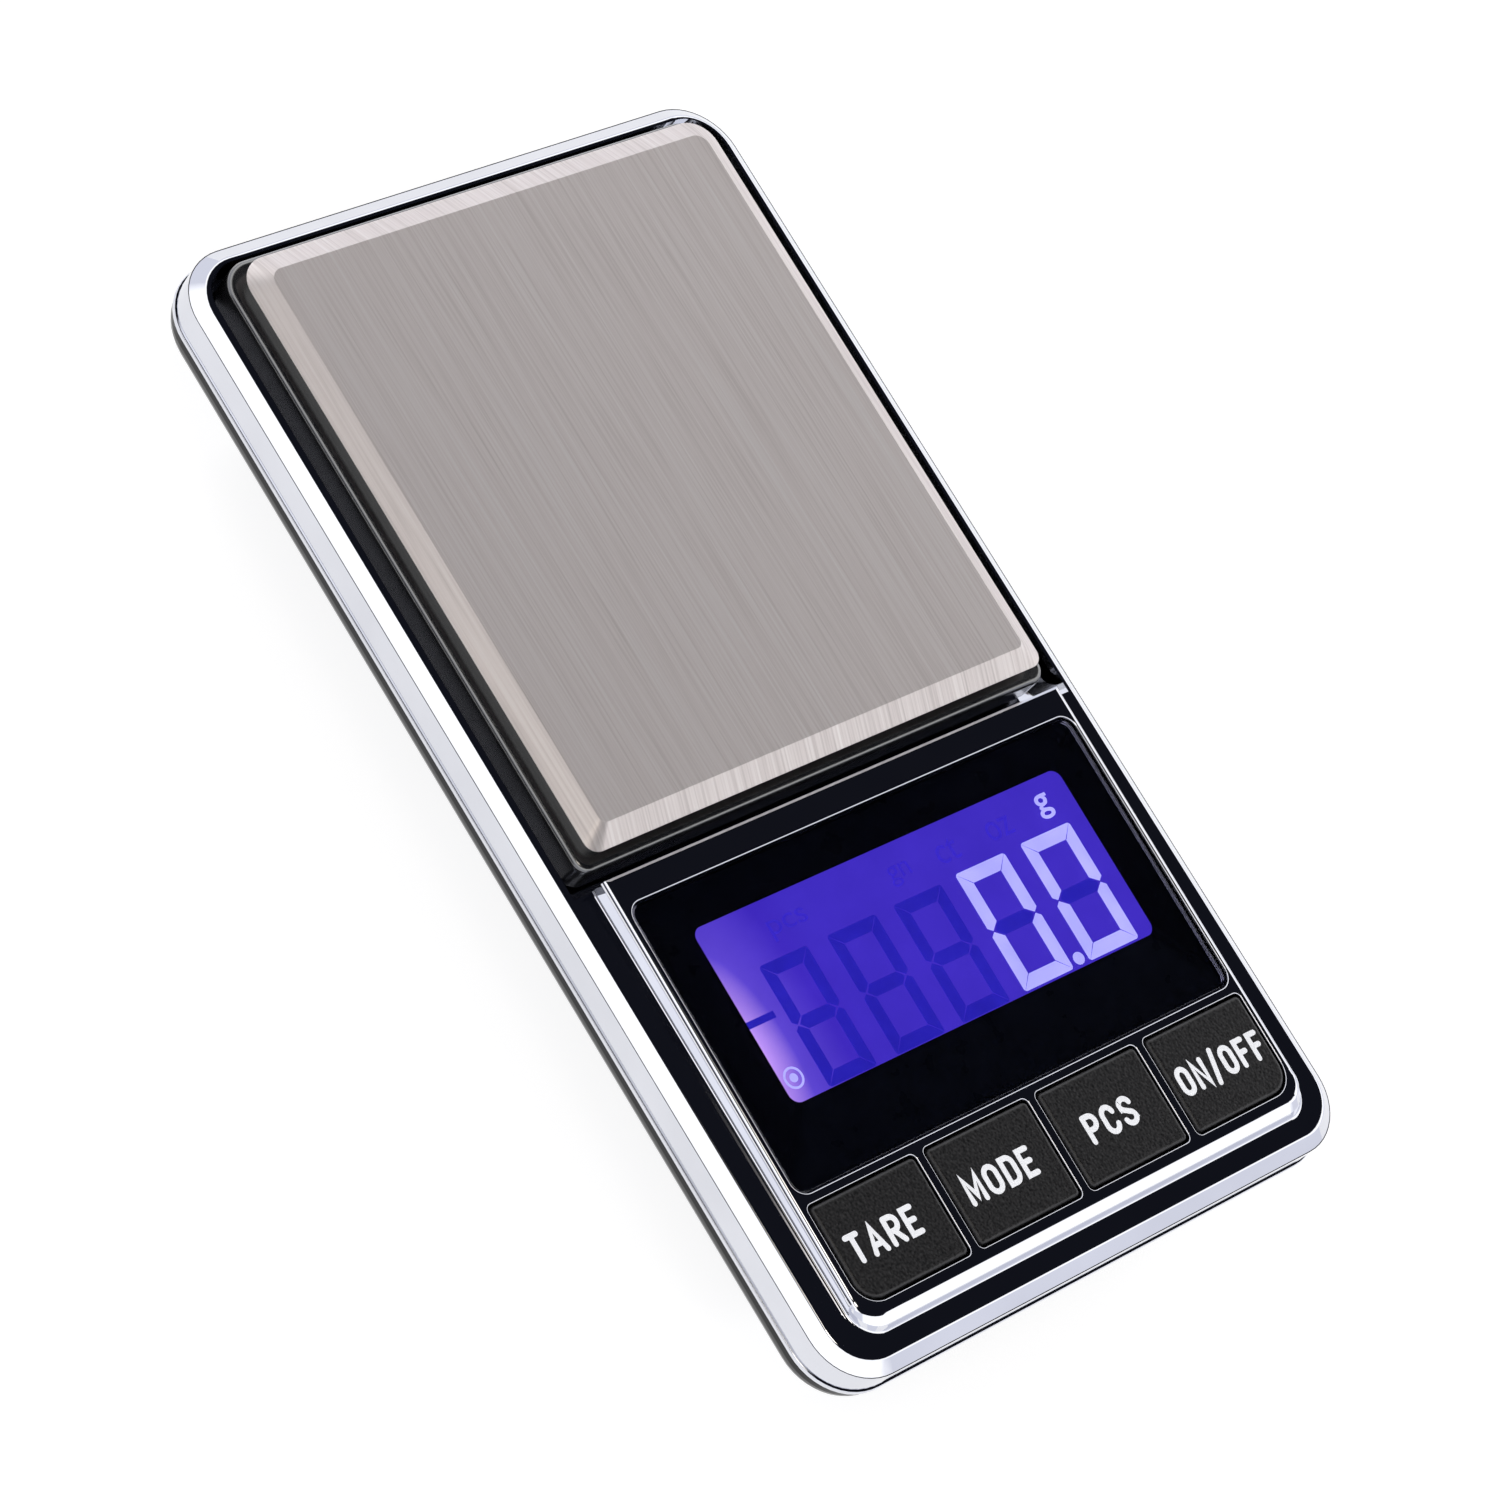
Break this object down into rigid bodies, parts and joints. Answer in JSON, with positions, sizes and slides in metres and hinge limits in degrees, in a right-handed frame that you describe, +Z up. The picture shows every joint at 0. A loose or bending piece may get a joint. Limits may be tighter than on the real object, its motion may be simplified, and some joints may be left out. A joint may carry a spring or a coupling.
{
  "type": "digital gram scale",
  "caption": "Flat pocket weighing scale: chrome case with a raised display deck, a row of push buttons and a recessed brushed steel weighing pan.",
  "frame": {"origin": "centre of the resting footprint, on the plane the feet stand on", "axes": "+Z up, +Y along the scale from the display end to the pan end, +X to the user's right"},
  "size_m": [0.062, 0.11, 0.02],
  "materials": {
    "chrome_shell": "polished chrome plating on plastic",
    "gloss_black": "gloss black",
    "door_black": "satin black",
    "lens_tint": "glossy tinted acrylic",
    "mask_ink": "black printed film",
    "white_tape": "adhesive film",
    "lcd_glass": "negative blue display glass",
    "light_guide": "diffusing light guide",
    "led": "side-lit lamp",
    "white_frame": "moulded white frame",
    "contact_rubber": "layered contact rubber",
    "board_green": "solder mask",
    "epoxy_black": "epoxy",
    "chip_black": "moulded package",
    "tinned_can": "tinned can",
    "passive_ceramic": "ceramic chips",
    "zinc_screw": "zinc plated",
    "key_rubber": "silicone",
    "key_black": "fine-grained satin black",
    "beam_aluminium": "milled",
    "gauge_resin": "sealing resin",
    "carrier_black": "satin black",
    "pan_steel": "brushed lengthwise",
    "cell_jacket": "printed cell jacket",
    "spring_steel": "nickel plated",
    "foot_rubber": "matt",
    "lead_sleeve": "sleeved wire"
  },
  "bodies": {
    "case": {"top_housing": "chrome_shell", "bottom_shell": "gloss_black", "lens_window": "lens_tint", "lens_mask": "mask_ink", "lcd_panel": "lcd_glass", "lcd_backlight": "light_guide", "backlight_led": "led", "lcd_frame": "white_frame", "zebra_strip": "contact_rubber", "main_pcb": "board_green", "controller_blob": "epoxy_black", "converter_chip": "chip_black", "crystal": "tinned_can", "pcb_passives": "passive_ceramic", "pcb_screws": "zinc_screw", "keypad_mat": "key_rubber", "load_cell": "beam_aluminium", "strain_gauges": "gauge_resin", "load_cell_screws": "zinc_screw", "overload_stop": "zinc_screw", "battery_left": "cell_jacket", "battery_right": "cell_jacket", "battery_terminals": "spring_steel", "battery_bridge": "spring_steel", "case_screws": "zinc_screw", "rubber_feet": "foot_rubber", "gauge_leads": "lead_sleeve"},
    "pan": {"pan_carrier": "carrier_black", "carrier_screws": "zinc_screw", "pan_tape": "white_tape", "weighing_pan": "pan_steel"},
    "door": {"battery_door": "door_black"},
    "tare_key": {"button_tare": "key_black"},
    "mode_key": {"button_mode": "key_black"},
    "pcs_key": {"button_pcs": "key_black"},
    "power_key": {"button_on_off": "key_black"}
  },
  "joints": [
    {"name": "pan_load", "type": "slide", "parent": "case", "child": "pan", "axis": [0, 0, -1], "range_m": [0, 0.0003], "stiffness_N_per_m": 16000, "deforming": ["load_cell"]},
    {"name": "tare_press", "type": "slide", "parent": "case", "child": "tare_key", "axis": [0, 0.0158, -0.9999], "range_m": [0, 0.0006], "stiffness_N_per_m": 1500, "deforming": ["keypad_mat"]},
    {"name": "mode_press", "type": "slide", "parent": "case", "child": "mode_key", "axis": [0, 0.0158, -0.9999], "range_m": [0, 0.0006], "stiffness_N_per_m": 1500, "deforming": ["keypad_mat"]},
    {"name": "pcs_press", "type": "slide", "parent": "case", "child": "pcs_key", "axis": [0, 0.0158, -0.9999], "range_m": [0, 0.0006], "stiffness_N_per_m": 1500, "deforming": ["keypad_mat"]},
    {"name": "power_press", "type": "slide", "parent": "case", "child": "power_key", "axis": [0, 0.0158, -0.9999], "range_m": [0, 0.0006], "stiffness_N_per_m": 1500, "deforming": ["keypad_mat"]},
    {"name": "door_slide", "type": "slide", "parent": "case", "child": "door", "axis": [0, -1, 0], "range_m": [0, 0.049]}
  ]
}
